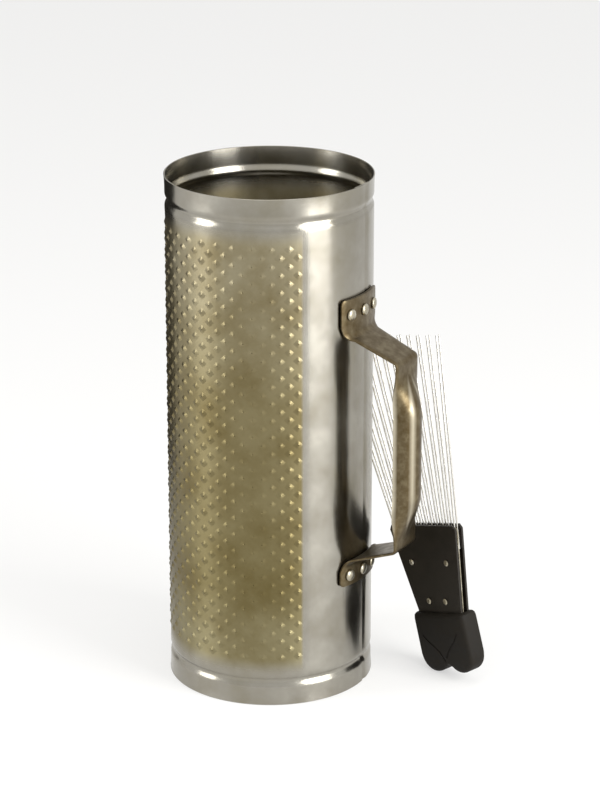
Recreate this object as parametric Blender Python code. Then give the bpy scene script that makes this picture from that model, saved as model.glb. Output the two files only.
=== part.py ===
# Guira: a rasp drum of rolled sheet steel with a strap handle, and the wire scraper that stands beside it.
# Metres, +Z up. The handle points along +X from the drum's axis, and the drum and the scraper stand on Z = 0.
# Each piece is laid out from the drum's axis, and at the end the whole set is centred over the origin.
import math

import bmesh
import bpy
from mathutils import Matrix, Vector

# Drum
DRUM_HEIGHT = 0.356
DRUM_RADIUS = 0.070  # outside of the plain wall
SHEET = 0.0008  # thickness of the drum's sheet
RIM_FLARE = 0.0005  # how far each rim opens out
GROOVE_FROM_END = 0.017
GROOVE_HALF_WIDTH = 0.0045
GROOVE_DEPTH = 0.0016
SEAM_EDGE = math.radians(4.0)  # the visible edge of the lap, counted from the handle
LAP_WIDTH = 0.012
JOGGLE_WIDTH = 0.007  # the wall steps out from under the lap over this width
DRUM_STEP = math.radians(6.0)

# Handle strap
STRAP_THICKNESS = 0.0020
FOOT_HALF_WIDTH = 0.0240  # along the drum's curve
ARM_HALF_WIDTH = 0.0152
GRIP_HALF_WIDTH = 0.0198  # along the rolled section
GRIP_HALF_TURN = math.radians(98.0)  # how far each side is rolled inwards
GRIP_BULGE = 0.0092  # the rolled grip stands this far out from its corners
ROLL_LENGTH = 0.034  # from the flat corner to the fully rolled grip
CORNER_REACH = 0.1046  # from the drum's axis to the strap's outer corners
UPPER_CORNER_Z = 0.2416
LOWER_CORNER_Z = 0.1085
UPPER_ROOT_Z = 0.2560
LOWER_ROOT_Z = 0.0965
UPPER_FOOT_END_Z = 0.2825
LOWER_FOOT_END_Z = 0.0790
ROOT_BEND = 0.0050
CORNER_BEND = 0.0036

# Handle rivets
UPPER_RIVET_Z = 0.2715
LOWER_RIVET_Z = 0.0865
RIVET_SPACING = math.radians(12.2)
RIVET_SHANK = 0.0018
RIVET_HEAD = 0.0040
RIVET_HEAD_HEIGHT = 0.0020
WASHER_RADIUS = 0.0042
WASHER_THICKNESS = 0.0010
RIVET_TAIL = 0.0028
RIVET_TAIL_HEIGHT = 0.0012

# Solder along the inside edge of the lap
SOLDER_WIDTH = 0.0018
SOLDER_HEIGHT = 0.0008
SOLDER_END_MARGIN = 0.026

# Scraper
TINE_COUNT = 12  # in each of the two rows
TINE_RADIUS = 0.0006
TINE_TIP_Z = 0.2405  # along the scraper, from its foot
TINE_ROOT_Z = 0.0880
TINE_ROOT_PITCH = 0.0052  # where the wires leave the holder
TINE_TIP_PITCH = 0.0099
HOLDER_TOP_Z = 0.1055
HOLDER_FOOT_Z = 0.0120
HOLDER_TOP_HALF_WIDTH = 0.0340
HOLDER_NECK_HALF_WIDTH = 0.0220
HOLDER_NECK_Z = 0.0440
HOLDER_CORNER = 0.0030
PLATE_THICKNESS = 0.0016
CORE_THICKNESS = 0.0008
CORE_INSET = 0.0015
BOOT_TOP_Z = 0.0430
BOOT_HALF_WIDTH = 0.0260
BOOT_HALF_DEPTH = 0.0078
BOOT_NOTCH = 0.0060
BOOT_BEVEL = 0.0032
NECK_PIN_X = 0.0085
NECK_PIN_Z = 0.0510
CLAMP_RIVET_X = 0.0180
CLAMP_RIVET_Z = 0.0790
PIN_RADIUS = 0.0013
PIN_HEAD = 0.0022
PIN_HEAD_HEIGHT = 0.0008

# Where the scraper stands
SCRAPER_FACING = math.radians(70.0)  # the direction from the drum's axis square to the fan of wires
SCRAPER_ALONG = 0.1005  # its foot, sideways from the point of the drum that the fan faces
SCRAPER_LEAN = math.radians(2.7)  # towards the drum
SCRAPER_TILT = math.radians(16.0)  # sideways, within the fan
SCRAPER_CLEARANCE = 0.0010  # from the drum's rim to the nearest wires

# Clearances
GAP = 0.0003
CURVE_GAP = 0.0004  # between curved faces that are made of flats
SIDES = 12


def material(name, colour, metallic, roughness):
    """A Principled material with one colour."""
    made = bpy.data.materials.new(name)
    made.use_nodes = True
    shader = made.node_tree.nodes["Principled BSDF"]
    shader.inputs["Base Color"].default_value = (*colour, 1.0)
    shader.inputs["Metallic"].default_value = metallic
    shader.inputs["Roughness"].default_value = roughness
    return made


def add_object(name, mesh_data, finish, smooth=True):
    """Makes the object for one piece from a bmesh."""
    bmesh.ops.recalc_face_normals(mesh_data, faces=mesh_data.faces)
    mesh = bpy.data.meshes.new(name)
    mesh_data.to_mesh(mesh)
    mesh_data.free()
    if smooth:
        mesh.shade_smooth()
        mesh.set_sharp_from_angle(angle=math.radians(35))
    piece = bpy.data.objects.new(name, mesh)
    bpy.context.scene.collection.objects.link(piece)
    piece.data.materials.append(finish)
    return piece


def bridge_rings(mesh_data, rings, close_ends=True):
    """Skins a list of rings of points, all of one length, and closes the two ends."""
    rows = [[mesh_data.verts.new(point) for point in ring] for ring in rings]
    count = len(rows[0])
    for lower, upper in zip(rows, rows[1:]):
        for i in range(count):
            j = (i + 1) % count
            mesh_data.faces.new((lower[i], lower[j], upper[j], upper[i]))
    if close_ends:
        mesh_data.faces.new(list(reversed(rows[0])))
        mesh_data.faces.new(rows[-1])


def turned(profile, sides=SIDES):
    """Rings of a solid turned about Z, from its (radius, height) points."""
    rings = []
    for radius, z in profile:
        angles = [2 * math.pi * i / sides for i in range(sides)]
        rings.append([Vector((radius * math.cos(a), radius * math.sin(a), z)) for a in angles])
    return rings


def along(origin, direction):
    """The matrix that turns +Z to a direction and moves it to an origin."""
    turn = Vector(direction).to_track_quat("Z", "Y").to_matrix().to_4x4()
    return Matrix.Translation(Vector(origin)) @ turn


def cut(piece, cutters):
    """Cuts each cutter out of a piece with a live Boolean."""
    for cutter in cutters:
        cutter.hide_render = True
        cutter.display_type = "WIRE"
        boolean = piece.modifiers.new("cut_" + cutter.name, "BOOLEAN")
        boolean.operation = "DIFFERENCE"
        boolean.solver = "EXACT"
        boolean.object = cutter


def drum_wall_levels():
    """(height, offset) points of the wall's outside, from the lower rim to the upper."""
    shape = [(-1.0, 0.0), (-0.55, -0.5), (0.0, -1.0), (0.55, -0.5), (1.0, 0.0)]
    lower = []
    for across, depth in shape:
        lower.append((GROOVE_FROM_END + across * GROOVE_HALF_WIDTH, depth * GROOVE_DEPTH))
    upper = [(DRUM_HEIGHT - z, offset) for z, offset in reversed(lower)]
    return [(0.0, RIM_FLARE)] + lower + upper + [(DRUM_HEIGHT, RIM_FLARE)]


def lap_depth():
    """How far the tucked layer lies inside the outer one."""
    return SHEET + CURVE_GAP


def lap_angle():
    return LAP_WIDTH / DRUM_RADIUS


def sheet_radius(angle):
    """Outside radius of the rolled sheet at an angle: tucked in under the lap, then stepping out."""
    step = (angle - SEAM_EDGE) / (JOGGLE_WIDTH / DRUM_RADIUS)
    step = min(max(step, 0.0), 1.0)
    return DRUM_RADIUS - lap_depth() * (1 - step * step * (3 - 2 * step))


def make_drum_sheet(finish):
    """One sheet rolled into a tube, its first edge tucked under its last."""
    start = SEAM_EDGE - lap_angle()
    joggle_end = SEAM_EDGE + JOGGLE_WIDTH / DRUM_RADIUS
    end = SEAM_EDGE + 2 * math.pi
    angles = [start, (start + SEAM_EDGE) / 2, SEAM_EDGE, (SEAM_EDGE + joggle_end) / 2, joggle_end]
    steps = round((end - joggle_end) / DRUM_STEP)
    angles += [joggle_end + (end - joggle_end) * i / steps for i in range(1, steps + 1)]
    levels = drum_wall_levels()
    rings = []
    for angle in angles:
        radius = sheet_radius(angle)
        direction = Vector((math.cos(angle), math.sin(angle), 0))
        outside = [direction * (radius + offset) + Vector((0, 0, z)) for z, offset in levels]
        inside = [direction * (radius + offset - SHEET) + Vector((0, 0, z)) for z, offset in levels]
        rings.append(outside + list(reversed(inside)))
    mesh_data = bmesh.new()
    bridge_rings(mesh_data, rings, close_ends=False)
    mesh_data.verts.ensure_lookup_table()
    count = len(rings[0])
    half = count // 2
    for base in (0, len(mesh_data.verts) - count):
        for i in range(half - 1):
            corners = (base + i, base + i + 1, base + count - 2 - i, base + count - 1 - i)
            mesh_data.faces.new([mesh_data.verts[k] for k in corners])
    return add_object("drum_sheet", mesh_data, finish)


def make_seam_solder(finish):
    """A run of solder in the step that the tucked edge makes inside the drum."""
    outer = DRUM_RADIUS - SHEET - CURVE_GAP
    near = SEAM_EDGE - lap_angle() - CURVE_GAP / DRUM_RADIUS
    far = near - SOLDER_WIDTH / DRUM_RADIUS
    corners = [(outer, near), (outer, far), (outer - SOLDER_HEIGHT, near)]
    rings = []
    for z in (SOLDER_END_MARGIN, DRUM_HEIGHT - SOLDER_END_MARGIN):
        rings.append([Vector((r * math.cos(a), r * math.sin(a), z)) for r, a in corners])
    mesh_data = bmesh.new()
    bridge_rings(mesh_data, rings)
    return add_object("seam_solder", mesh_data, finish, smooth=False)


def smooth_step(value):
    value = min(max(value, 0.0), 1.0)
    return value * value * (3 - 2 * value)


def rounded_corner(before, corner, after, radius, steps):
    """Points of an arc that rounds a corner of a path, each with the path's direction there."""
    first = (before - corner).normalized()
    second = (after - corner).normalized()
    half_angle = first.angle(second) / 2
    centre = corner + (first + second).normalized() * (radius / math.sin(half_angle))
    begin = corner + first * (radius / math.tan(half_angle)) - centre
    finish = corner + second * (radius / math.tan(half_angle)) - centre
    points = []
    for i in range(steps + 1):
        arm = begin.normalized().slerp(finish.normalized(), i / steps) * radius
        tangent = (-first).lerp(second, i / steps).normalized()
        points.append((centre + arm, tangent))
    return points


def strap_stations():
    """The strap's cross-sections: centre and direction in the handle's plane, half width and half turn."""
    foot_reach = DRUM_RADIUS + CURVE_GAP + STRAP_THICKNESS / 2
    foot_turn = FOOT_HALF_WIDTH / foot_reach
    corners = [
        Vector((foot_reach, 0, UPPER_FOOT_END_Z)),
        Vector((foot_reach, 0, UPPER_ROOT_Z)),
        Vector((CORNER_REACH, 0, UPPER_CORNER_Z)),
        Vector((CORNER_REACH, 0, LOWER_CORNER_Z)),
        Vector((foot_reach, 0, LOWER_ROOT_Z)),
        Vector((foot_reach, 0, LOWER_FOOT_END_Z)),
    ]
    down = Vector((0, 0, -1))
    stations = []

    def foot(z, half_width):
        stations.append((Vector((foot_reach, 0, z)), down, half_width, half_width / foot_reach))

    def bend(index, radius, steps, widths, turns):
        arc = rounded_corner(corners[index - 1], corners[index], corners[index + 1], radius, steps)
        for i, (point, tangent) in enumerate(arc):
            share = i / steps
            width = widths[0] + (widths[1] - widths[0]) * share
            turn = turns[0] + (turns[1] - turns[0]) * share
            stations.append((point, tangent, width, turn))

    foot(UPPER_FOOT_END_Z, FOOT_HALF_WIDTH * 0.90)
    foot(UPPER_FOOT_END_Z - 0.0025, FOOT_HALF_WIDTH)
    foot(UPPER_ROOT_Z + 0.0075, FOOT_HALF_WIDTH)
    bend(1, ROOT_BEND, 4, (FOOT_HALF_WIDTH * 0.93, ARM_HALF_WIDTH * 1.12), (foot_turn * 0.93, 0.06))
    bend(2, CORNER_BEND, 4, (ARM_HALF_WIDTH, ARM_HALF_WIDTH), (0.0, 0.04))
    top = UPPER_CORNER_Z - CORNER_BEND * 1.2
    bottom = LOWER_CORNER_Z + CORNER_BEND * 1.2
    roll = min(ROLL_LENGTH, (top - bottom) / 2)
    shares = [0.2, 0.4, 0.6, 0.8, 1.0]
    heights = [top - roll * share for share in shares]
    heights += [(top + bottom) / 2] + [bottom + roll * share for share in reversed(shares)]
    for z in heights:
        rolled = smooth_step(min(top - z, z - bottom) / roll)
        width = ARM_HALF_WIDTH + (GRIP_HALF_WIDTH - ARM_HALF_WIDTH) * rolled
        centre = Vector((CORNER_REACH + GRIP_BULGE * rolled, 0, z))
        stations.append((centre, down, width, 0.04 + (GRIP_HALF_TURN - 0.04) * rolled))
    bend(3, CORNER_BEND, 4, (ARM_HALF_WIDTH, ARM_HALF_WIDTH), (0.04, 0.0))
    bend(4, ROOT_BEND, 4, (ARM_HALF_WIDTH * 1.12, FOOT_HALF_WIDTH * 0.93), (0.06, foot_turn * 0.93))
    foot(LOWER_ROOT_Z - 0.0065, FOOT_HALF_WIDTH)
    foot(LOWER_FOOT_END_Z + 0.0025, FOOT_HALF_WIDTH)
    foot(LOWER_FOOT_END_Z, FOOT_HALF_WIDTH * 0.90)
    return stations


def make_handle_strap(finish):
    """The strap: two curved feet on the drum, two flat arms, and a grip whose sides are rolled inwards."""
    across = 10
    rings = []
    for centre, tangent, half_width, half_turn in strap_stations():
        outward = Vector((-tangent.z, 0, tangent.x))
        outside = []
        inside = []
        for i in range(across + 1):
            share = 2 * i / across - 1
            turn = half_turn * share
            if half_turn > 0.001:
                radius = half_width / half_turn
                side = radius * math.sin(turn)
                drop = radius * (1 - math.cos(turn))
            else:
                side = half_width * share
                drop = 0.0
            middle = centre + Vector((0, side, 0)) - outward * drop
            normal = outward * math.cos(turn) + Vector((0, math.sin(turn), 0))
            outside.append(middle + normal * (STRAP_THICKNESS / 2))
            inside.append(middle - normal * (STRAP_THICKNESS / 2))
        rings.append(outside + list(reversed(inside)))
    mesh_data = bmesh.new()
    bridge_rings(mesh_data, rings, close_ends=False)
    mesh_data.verts.ensure_lookup_table()
    count = len(rings[0])
    for base in (0, len(mesh_data.verts) - count):
        for i in range(across):
            corners = (base + i, base + i + 1, base + count - 2 - i, base + count - 1 - i)
            mesh_data.faces.new([mesh_data.verts[k] for k in corners])
    return add_object("handle_strap", mesh_data, finish)


def rivet_places():
    """(name, angle, height) of each handle rivet."""
    places = []
    for row, z in (("upper", UPPER_RIVET_Z), ("lower", LOWER_RIVET_Z)):
        for i, side in enumerate(("left", "middle", "right")):
            places.append((row + "_" + side, (i - 1) * RIVET_SPACING, z))
    return places


def make_handle_rivets(rivet_finish, washer_finish, strap, drum):
    """Domed rivets through the strap and the sheet, each clenched over a washer inside the drum."""
    head_face = DRUM_RADIUS + CURVE_GAP + STRAP_THICKNESS + GAP
    for name, angle, z in rivet_places():
        through_lap = SEAM_EDGE - lap_angle() < angle < SEAM_EDGE
        wall = DRUM_RADIUS - SHEET - (lap_depth() if through_lap else 0.0)
        washer_face = math.sqrt(wall**2 - WASHER_RADIUS**2) - CURVE_GAP
        tail_face = washer_face - WASHER_THICKNESS - GAP
        tail_end = tail_face - RIVET_TAIL_HEIGHT
        profile = [
            (RIVET_TAIL * 0.55, tail_end),
            (RIVET_TAIL, tail_end + RIVET_TAIL_HEIGHT * 0.45),
            (RIVET_TAIL, tail_face),
            (RIVET_SHANK, tail_face),
            (RIVET_SHANK, head_face),
            (RIVET_HEAD, head_face),
            (RIVET_HEAD * 0.90, head_face + RIVET_HEAD_HEIGHT * 0.55),
            (RIVET_HEAD * 0.45, head_face + RIVET_HEAD_HEIGHT),
        ]
        place = along((0, 0, z), (math.cos(angle), math.sin(angle), 0))
        mesh_data = bmesh.new()
        bridge_rings(mesh_data, turned(profile))
        rivet = add_object("handle_rivet_" + name, mesh_data, rivet_finish)
        rivet.matrix_world = place
        inner = RIVET_SHANK + GAP
        ring = [
            (inner, washer_face - WASHER_THICKNESS),
            (WASHER_RADIUS, washer_face - WASHER_THICKNESS),
            (WASHER_RADIUS, washer_face),
            (inner, washer_face),
            (inner, washer_face - WASHER_THICKNESS),
        ]
        mesh_data = bmesh.new()
        bridge_rings(mesh_data, turned(ring), close_ends=False)
        bmesh.ops.remove_doubles(mesh_data, verts=mesh_data.verts, dist=0.00001)
        washer = add_object("rivet_washer_" + name, mesh_data, washer_finish)
        washer.matrix_world = place
        mesh_data = bmesh.new()
        bridge_rings(mesh_data, turned([(inner, DRUM_RADIUS - 0.012), (inner, DRUM_RADIUS + 0.012)]))
        cutter = add_object("hole_" + name, mesh_data, rivet_finish)
        cutter.matrix_world = place
        cut(strap, [cutter])
        cut(drum, [cutter])


def tapered_outline(inset, foot_z, top_z):
    """Outline of the flat holder, seen square on: a straight neck that widens to the wires."""
    neck = HOLDER_NECK_HALF_WIDTH - inset
    top = HOLDER_TOP_HALF_WIDTH - inset
    side = [(neck, foot_z), (neck, HOLDER_NECK_Z)]
    if top_z > HOLDER_NECK_Z:
        slope = (top - neck) / (HOLDER_TOP_Z - HOLDER_CORNER - HOLDER_NECK_Z)
        shoulder = top_z - HOLDER_CORNER
        side.append((neck + slope * (shoulder - HOLDER_NECK_Z), shoulder))
        side.append((neck + slope * (shoulder - HOLDER_NECK_Z) - HOLDER_CORNER * 0.7, top_z))
    return side + [(-x, z) for x, z in reversed(side)]


def slab(name, outline, near, far, finish):
    """A flat plate: an outline in X and Z, between two depths in Y."""
    mesh_data = bmesh.new()
    rings = [[Vector((x, y, z)) for x, z in outline] for y in (near, far)]
    bridge_rings(mesh_data, rings)
    return add_object(name, mesh_data, finish, smooth=False)


def boot_outline(inset=0.0):
    """Outline of the rubber boot: nearly straight sides and two round lobes with a notch between them."""
    half = BOOT_HALF_WIDTH - inset
    lobe = half / 2
    side = [(half * 0.94, BOOT_TOP_Z), (half, BOOT_TOP_Z - 0.004), (half * 1.02, lobe)]
    for degrees in (-18, -45, -72, -100, -130):
        angle = math.radians(degrees)
        side.append((lobe + lobe * math.cos(angle), lobe + lobe * math.sin(angle)))
    side.append((0.0, BOOT_NOTCH))
    return side + [(-x, z) for x, z in reversed(side[:-1])]


def make_boot(finish):
    """The rubber boot over the holder's foot, with the pocket that the holder sits in."""
    boot = slab("scraper_boot", boot_outline(), -BOOT_HALF_DEPTH, BOOT_HALF_DEPTH, finish)
    bevel = boot.modifiers.new("soft_edges", "BEVEL")
    bevel.width = BOOT_BEVEL
    bevel.segments = 2
    bevel.limit_method = "ANGLE"
    bevel.angle_limit = math.radians(60)
    pocket_depth = CORE_THICKNESS / 2 + 2 * TINE_RADIUS + 2 * GAP + PLATE_THICKNESS + GAP
    pocket_width = HOLDER_NECK_HALF_WIDTH + GAP
    outline = [
        (pocket_width, HOLDER_FOOT_Z - GAP),
        (pocket_width, BOOT_TOP_Z + 0.010),
        (-pocket_width, BOOT_TOP_Z + 0.010),
        (-pocket_width, HOLDER_FOOT_Z - GAP),
    ]
    pocket = slab("boot_pocket", outline, -pocket_depth, pocket_depth, finish)
    cut(boot, [pocket])
    return boot, pocket


def make_tines(finish):
    """Two rows of straight wires that spread from the holder like a fan."""
    depth = CORE_THICKNESS / 2 + GAP + TINE_RADIUS
    made = []
    for row, y in (("front", -depth), ("back", depth)):
        for i in range(TINE_COUNT):
            place = i - (TINE_COUNT - 1) / 2
            root_x = place * TINE_ROOT_PITCH
            spread = (TINE_TIP_PITCH - TINE_ROOT_PITCH) * place
            exit_x = root_x + spread * (HOLDER_TOP_Z - TINE_ROOT_Z) / (TINE_TIP_Z - TINE_ROOT_Z)
            root = Vector((root_x, y, TINE_ROOT_Z))
            tip = Vector((root_x + spread, y, TINE_TIP_Z - abs(place) * 0.0004))
            bend = Vector((exit_x, y, HOLDER_TOP_Z))
            rings = []
            for point, radius in ((root, 1.0), (bend, 1.0), (tip, 0.85)):
                ring = []
                for k in range(8):
                    angle = 2 * math.pi * (k + 0.5) / 8
                    offset = Vector((math.cos(angle), math.sin(angle), 0)) * TINE_RADIUS * radius
                    ring.append(point + offset)
                rings.append(ring)
            mesh_data = bmesh.new()
            bridge_rings(mesh_data, rings)
            made.append(add_object("tine_%s_%02d" % (row, i + 1), mesh_data, finish))
    return made


def make_holder(plate_finish, core_finish):
    """Two outer plates and the core plate between the two rows of wires."""
    inner = CORE_THICKNESS / 2 + 2 * TINE_RADIUS + 2 * GAP
    outline = tapered_outline(0.0, HOLDER_FOOT_Z, HOLDER_TOP_Z)
    front = slab("holder_front_plate", outline, -inner - PLATE_THICKNESS, -inner, plate_finish)
    back = slab("holder_back_plate", outline, inner, inner + PLATE_THICKNESS, plate_finish)
    core_outline = tapered_outline(CORE_INSET, HOLDER_FOOT_Z, HOLDER_TOP_Z - CORE_INSET)
    core = slab("holder_core", core_outline, -CORE_THICKNESS / 2, CORE_THICKNESS / 2, core_finish)
    return front, back, core


def make_spacers(finish, pins):
    """Collars on the pins that keep the plates as far apart as the wires do."""
    start = CORE_THICKNESS / 2 + GAP
    end = start + 2 * TINE_RADIUS
    made = []
    for name, x, z in pins:
        for side, sign in (("front", -1), ("back", 1)):
            ring = [
                (PIN_RADIUS + GAP, start),
                (PIN_RADIUS + 0.0015, start),
                (PIN_RADIUS + 0.0015, end),
                (PIN_RADIUS + GAP, end),
                (PIN_RADIUS + GAP, start),
            ]
            mesh_data = bmesh.new()
            bridge_rings(mesh_data, turned(ring), close_ends=False)
            bmesh.ops.remove_doubles(mesh_data, verts=mesh_data.verts, dist=0.00001)
            collar = add_object("collar_%s_%s" % (name, side), mesh_data, finish)
            collar.matrix_world = along((x, 0, z), (0, sign, 0))
            made.append(collar)
    return made


def holder_pins():
    """(name, x, z) of each pin through the holder."""
    return [
        ("neck_left", -NECK_PIN_X, NECK_PIN_Z),
        ("neck_right", NECK_PIN_X, NECK_PIN_Z),
        ("clamp_left", -CLAMP_RIVET_X, CLAMP_RIVET_Z),
        ("clamp_right", CLAMP_RIVET_X, CLAMP_RIVET_Z),
    ]


def make_pins(finish, plates):
    """Rivets that hold the plates, the collars and the core together."""
    face = CORE_THICKNESS / 2 + 2 * TINE_RADIUS + 2 * GAP + PLATE_THICKNESS + GAP
    made = []
    cutters = []
    for name, x, z in holder_pins():
        profile = [
            (PIN_HEAD * 0.6, -face - PIN_HEAD_HEIGHT),
            (PIN_HEAD, -face - PIN_HEAD_HEIGHT * 0.4),
            (PIN_HEAD, -face),
            (PIN_RADIUS, -face),
            (PIN_RADIUS, face),
            (PIN_HEAD, face),
            (PIN_HEAD, face + PIN_HEAD_HEIGHT * 0.4),
            (PIN_HEAD * 0.6, face + PIN_HEAD_HEIGHT),
        ]
        mesh_data = bmesh.new()
        bridge_rings(mesh_data, turned(profile))
        pin = add_object("pin_" + name, mesh_data, finish)
        pin.matrix_world = along((x, 0, z), (0, 1, 0))
        made.append(pin)
        reach = face + 0.004
        mesh_data = bmesh.new()
        bridge_rings(mesh_data, turned([(PIN_RADIUS + GAP, -reach), (PIN_RADIUS + GAP, reach)]))
        cutter = add_object("pin_hole_" + name, mesh_data, finish)
        cutter.matrix_world = along((x, 0, z), (0, 1, 0))
        cut_list = [cutter]
        for plate in plates:
            cut(plate, cut_list)
        cutters.append(cutter)
    return made + cutters


def scraper_placement():
    """The matrix that stands the scraper beside the drum, its wires just clear of the rim."""
    facing = Vector((math.cos(SCRAPER_FACING), math.sin(SCRAPER_FACING), 0))
    sideways = Vector((math.sin(SCRAPER_FACING), -math.cos(SCRAPER_FACING), 0))
    up = Vector((0, 0, 1)) - sideways * math.tan(SCRAPER_TILT) - facing * math.tan(SCRAPER_LEAN)
    up.normalize()
    square = (facing - up * facing.dot(up)).normalized()
    side = square.cross(up)
    front_of_wires = CORE_THICKNESS / 2 + GAP + 2 * TINE_RADIUS
    tip_height = TINE_TIP_Z * up.z
    reach = DRUM_RADIUS + RIM_FLARE + SCRAPER_CLEARANCE + front_of_wires
    reach += tip_height * math.tan(SCRAPER_LEAN)
    foot = facing * reach + sideways * SCRAPER_ALONG
    turn = Matrix((side, square, up)).transposed().to_4x4()
    lowest = 0.0
    for x, z in boot_outline():
        for y in (-BOOT_HALF_DEPTH + BOOT_BEVEL, BOOT_HALF_DEPTH - BOOT_BEVEL):
            lowest = min(lowest, (turn @ Vector((x, y, z))).z)
    return Matrix.Translation(foot - Vector((0, 0, lowest))) @ turn


def make_scraper():
    """The wire scraper, made upright about its own foot and then stood beside the drum."""
    black = material("black_plastic", (0.012, 0.011, 0.009), 0.0, 0.45)
    rubber = material("black_rubber", (0.010, 0.009, 0.008), 0.0, 0.6)
    wire = material("spring_steel", (0.62, 0.60, 0.56), 1.0, 0.25)
    steel = material("bright_steel", (0.60, 0.58, 0.54), 1.0, 0.3)
    front, back, core = make_holder(black, steel)
    boot, pocket = make_boot(rubber)
    pieces = [front, back, core, boot, pocket]
    pieces += make_tines(wire)
    pieces += make_spacers(steel, holder_pins())
    pieces += make_pins(steel, (front, back, core))
    stand = bpy.data.objects.new("scraper_stand", None)
    bpy.context.scene.collection.objects.link(stand)
    stand.matrix_world = scraper_placement()
    for piece in pieces:
        local = piece.matrix_world.copy()
        piece.parent = stand
        piece.matrix_parent_inverse = Matrix.Identity(4)
        piece.matrix_basis = local


def make_drum():
    """The drum with its handle."""
    sheet = material("polished_sheet_steel", (0.50, 0.47, 0.40), 1.0, 0.25)
    strap_finish = material("bare_strap_steel", (0.36, 0.32, 0.25), 1.0, 0.35)
    rivet_finish = material("rivet_steel", (0.65, 0.63, 0.58), 1.0, 0.3)
    washer_finish = material("washer_steel", (0.55, 0.52, 0.46), 1.0, 0.4)
    solder = material("solder", (0.45, 0.44, 0.42), 1.0, 0.5)
    drum = make_drum_sheet(sheet)
    make_seam_solder(solder)
    strap = make_handle_strap(strap_finish)
    make_handle_rivets(rivet_finish, washer_finish, strap, drum)


def centre_on_floor():
    """Shifts everything so that the origin is the middle of the set's box, on the surface that it stands on."""
    bpy.context.view_layer.update()
    graph = bpy.context.evaluated_depsgraph_get()
    corners = []
    for piece in bpy.data.objects:
        if piece.type != "MESH" or piece.hide_render:
            continue
        shown = piece.evaluated_get(graph)
        corners += [shown.matrix_world @ vertex.co for vertex in shown.data.vertices]
    lowest = Vector([min(corner[i] for corner in corners) for i in range(3)])
    highest = Vector([max(corner[i] for corner in corners) for i in range(3)])
    middle = (lowest + highest) / 2
    origin = bpy.data.objects.new("guira_origin", None)
    bpy.context.scene.collection.objects.link(origin)
    origin.location = (-middle.x, -middle.y, -lowest.z)
    for piece in bpy.data.objects:
        if piece.parent is None and piece is not origin:
            piece.parent = origin


def main():
    for old in list(bpy.data.objects):
        bpy.data.objects.remove(old)
    make_drum()
    make_scraper()
    centre_on_floor()
    bpy.context.view_layer.update()


main()
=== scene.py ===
# %% [markdown]
# # A guira and its wire scraper
# A guira is a tube of thin sheet steel with hundreds of small marks punched outwards through its wall.
# The player holds it by the strap handle and strokes the marks with a fan of stiff wires.
# The measured solids come in first as a fixed frame, and each later step dresses one real piece.

# %% Load the solids and keep their box
import math

import bmesh
import bpy
from mathutils import Matrix, Vector


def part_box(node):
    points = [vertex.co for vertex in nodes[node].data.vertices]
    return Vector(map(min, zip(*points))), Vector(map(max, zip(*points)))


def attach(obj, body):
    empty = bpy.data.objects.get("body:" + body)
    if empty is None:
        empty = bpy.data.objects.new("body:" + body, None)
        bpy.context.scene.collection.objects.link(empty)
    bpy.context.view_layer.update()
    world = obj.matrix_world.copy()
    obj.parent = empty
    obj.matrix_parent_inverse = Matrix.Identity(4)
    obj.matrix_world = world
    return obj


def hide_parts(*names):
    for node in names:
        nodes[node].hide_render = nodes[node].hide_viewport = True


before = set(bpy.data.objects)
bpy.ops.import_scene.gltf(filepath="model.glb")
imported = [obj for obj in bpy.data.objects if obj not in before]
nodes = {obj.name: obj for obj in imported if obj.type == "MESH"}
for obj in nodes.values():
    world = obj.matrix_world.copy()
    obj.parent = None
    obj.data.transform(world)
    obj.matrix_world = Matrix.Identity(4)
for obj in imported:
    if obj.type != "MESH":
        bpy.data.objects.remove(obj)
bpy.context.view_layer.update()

# %% Find the drum's axis
low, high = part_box("drum_sheet")
AXIS = Vector(((low.x + high.x) / 2, (low.y + high.y) / 2, 0.0))
DRUM_HEIGHT = high.z
print("drum axis at", round(AXIS.x, 5), round(AXIS.y, 5))

# %% [markdown]
# ## The camera
# The drum's two rims and its walls are lines whose real sizes are known, so the view can be solved from
# them. A long lens about two metres away, looking down by nineteen degrees, draws all of them where they
# are seen. It comes first, so that every later piece is judged from the right place.

# %% Place the camera
CAMERA_FROM_AXIS = Vector((0.9665, -1.6740, 0.8690))
CAMERA_TILT = math.radians(70.8)
CAMERA_TURN = math.radians(29.395)
SENSOR_WIDTH = 36.0
PHOTO_WIDTH = 600
FOCAL_PIXELS = 3003.3  # focal length in pixels of the photograph, solved with the place
camera_data = bpy.data.cameras.new("view")
camera_data.sensor_fit = "HORIZONTAL"
camera_data.sensor_width = SENSOR_WIDTH
camera_data.lens = SENSOR_WIDTH * FOCAL_PIXELS / PHOTO_WIDTH
camera = bpy.data.objects.new("view", camera_data)
bpy.context.scene.collection.objects.link(camera)
camera.location = AXIS + CAMERA_FROM_AXIS
camera.rotation_euler = (CAMERA_TILT, 0.0, CAMERA_TURN)
bpy.context.scene.camera = camera
print("lens:", round(camera_data.lens, 1), "mm")

# %% [markdown]
# ## Helpers for colours and nodes
# Colours are written as they look on a screen, and one function turns them into the linear values that
# light uses. Another adds a node with its settings and links, so that each material reads as a short list
# from its patterns to its shader.

# %% Colour and node helpers
def colour(code):
    """A screen colour such as #8c8468 as linear red, green, blue and one."""
    values = [int(code[i:i + 2], 16) / 255 for i in (1, 3, 5)]
    linear = [v / 12.92 if v <= 0.04045 else ((v + 0.055) / 1.055) ** 2.4 for v in values]
    return (*linear, 1.0)


def set_inputs(tree, node, inputs):
    """Each input is a value, an output socket, or a node, whose first output in use is then linked."""
    for name, value in inputs.items():
        if isinstance(value, bpy.types.Node):
            value = next(socket for socket in value.outputs if socket.enabled)
        if isinstance(value, bpy.types.NodeSocket):
            tree.links.new(value, node.inputs[name])
        else:
            node.inputs[name].default_value = value


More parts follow.
